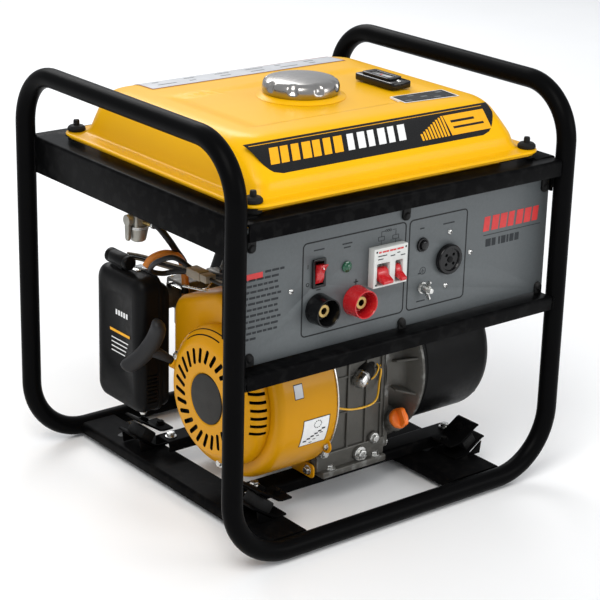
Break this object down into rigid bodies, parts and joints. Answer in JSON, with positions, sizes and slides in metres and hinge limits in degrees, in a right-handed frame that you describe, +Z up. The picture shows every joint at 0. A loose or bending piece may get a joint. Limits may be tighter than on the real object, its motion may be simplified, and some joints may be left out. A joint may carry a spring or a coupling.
{
  "type": "engine driven welder",
  "caption": "Open tubular frame carrying a fuel tank, a control panel with weld sockets, and a small engine with its alternator.",
  "frame": {"origin": "on the floor, under the middle of the tubular frame", "axes": "+X along the control panel to its right, +Y from the panel to the back, +Z up"},
  "size_m": [0.47, 0.418, 0.467],
  "materials": {
    "frame_black": "satin black paint",
    "rubber": "matt rubber",
    "yellow_paint": "gloss golden yellow paint",
    "chrome": "brushed chrome plate",
    "cast_aluminium": "as cast",
    "panel_grey": "fine satin blue-grey",
    "black_plastic": "satin moulded",
    "red_plastic": "gloss moulded",
    "breaker_grey": "satin moulded",
    "green_lens": "clear gloss",
    "orange_plastic": "satin moulded",
    "steel": "machined",
    "copper_windings": "varnished wire"
  },
  "bodies": {
    "root_frame": {"left_hoop": "frame_black", "right_hoop": "frame_black", "front_skid": "frame_black", "back_skid": "frame_black", "left_side_rail": "frame_black", "right_side_rail": "frame_black", "front_upper_rail": "frame_black", "back_upper_rail": "frame_black", "front_lower_rail": "frame_black", "left_cross_plate": "frame_black", "right_cross_plate": "frame_black", "foot_left_front": "rubber", "foot_left_back": "rubber", "foot_right_front": "rubber", "foot_right_back": "rubber", "front_bed_rail": "frame_black", "rear_bed_rail": "frame_black", "engine_mount_left_front": "rubber", "engine_mount_left_back": "rubber", "engine_mount_right_front": "rubber", "engine_mount_right_back": "rubber", "tank_shell": "yellow_paint", "tank_pan": "yellow_paint", "fuel_gauge": "black_plastic", "fuel_tap_body": "cast_aluminium", "fuel_hose": "rubber", "control_panel": "panel_grey", "control_box": "frame_black", "inverter_module": "cast_aluminium", "rocker_bezel": "black_plastic", "pilot_lamp": "green_lens", "breaker_body": "breaker_grey", "weld_socket_negative": "black_plastic", "weld_socket_positive": "red_plastic", "ac_outlet": "black_plastic", "crankcase": "cast_aluminium", "crankcase_cover": "cast_aluminium", "cylinder_head": "cast_aluminium", "fan_shroud": "yellow_paint", "recoil_housing": "yellow_paint", "alternator_cover": "frame_black", "alternator_stator": "copper_windings", "air_cleaner_cover": "black_plastic", "air_cleaner_base": "black_plastic", "carburettor": "cast_aluminium", "muffler": "steel"},
    "filler_cap": {"fuel_cap": "chrome"},
    "tap_lever": {"fuel_tap_lever": "cast_aluminium"},
    "choke": {"choke_lever": "black_plastic"},
    "grip": {"starter_grip": "black_plastic"},
    "rope_pulley": {"recoil_pulley": "black_plastic"},
    "crank_train": {"crankshaft": "steel", "flywheel": "cast_aluminium", "alternator_rotor": "steel"},
    "rocker": {"rocker_button": "red_plastic"},
    "main_toggle": {"breaker_main_toggle": "red_plastic"},
    "aux_toggle": {"breaker_aux_toggle": "red_plastic"},
    "dc_button": {"dc_breaker_button": "black_plastic"},
    "earth_nut": {"ground_wing_nut": "steel"},
    "dipstick": {"oil_dipstick": "orange_plastic"}
  },
  "joints": [
    {"name": "fuel_cap_turn", "type": "hinge", "parent": "root_frame", "child": "filler_cap", "pos_m": [0, -0.01, 0.4465], "axis": [0, 0, 1], "range_deg": [0, 90]},
    {"name": "fuel_tap_turn", "type": "hinge", "parent": "root_frame", "child": "tap_lever", "pos_m": [-0.1593, 0.084, 0.3], "axis": [1, 0, 0], "range_deg": [-90, 0]},
    {"name": "choke_swing", "type": "hinge", "parent": "root_frame", "child": "choke", "pos_m": [-0.116, 0.07, 0.218], "axis": [0, 0, 1], "range_deg": [-35, 0]},
    {"name": "starter_pull", "type": "slide", "parent": "root_frame", "child": "grip", "axis": [-0.7799, 0.35, 0.5189], "range_m": [0, 0.5], "stiffness_N_per_m": 12, "springref_m": -0.15},
    {"name": "pulley_unwind", "type": "hinge", "parent": "root_frame", "child": "rope_pulley", "pos_m": [-0.152, -0.069, 0.1396], "axis": [1, 0, 0], "range_deg": [0, 680]},
    {"name": "crank_spin", "type": "hinge", "parent": "root_frame", "child": "crank_train", "pos_m": [0, -0.069, 0.1396], "axis": [1, 0, 0], "continuous": true},
    {"name": "rocker_tilt", "type": "hinge", "parent": "root_frame", "child": "rocker", "pos_m": [-0.1092, -0.183, 0.305], "axis": [1, 0, 0], "range_deg": [-14, 0]},
    {"name": "main_toggle_flip", "type": "hinge", "parent": "root_frame", "child": "main_toggle", "pos_m": [-0.029, -0.1865, 0.2905], "axis": [1, 0, 0], "range_deg": [-50, 0]},
    {"name": "aux_toggle_flip", "type": "hinge", "parent": "root_frame", "child": "aux_toggle", "pos_m": [-0.0075, -0.1865, 0.2905], "axis": [1, 0, 0], "range_deg": [-50, 0]},
    {"name": "dc_breaker_press", "type": "slide", "parent": "root_frame", "child": "dc_button", "axis": [0, 1, 0], "range_m": [0, 0.0025], "stiffness_N_per_m": 400, "springref_m": -0.002},
    {"name": "earth_nut_turn", "type": "hinge", "parent": "root_frame", "child": "earth_nut", "pos_m": [0.0344, -0.184, 0.2607], "axis": [0, -1, 0], "range_deg": [0, 720]},
    {"name": "dipstick_turn", "type": "hinge", "parent": "root_frame", "child": "dipstick", "pos_m": [0.05, -0.137, 0.088], "axis": [-0.1206, -0.8037, 0.5827], "range_deg": [0, 1080]}
  ],
  "couplings": [
    {"joint": "pulley_unwind", "follows": "starter_pull", "rad_per_m": 23.2}
  ]
}
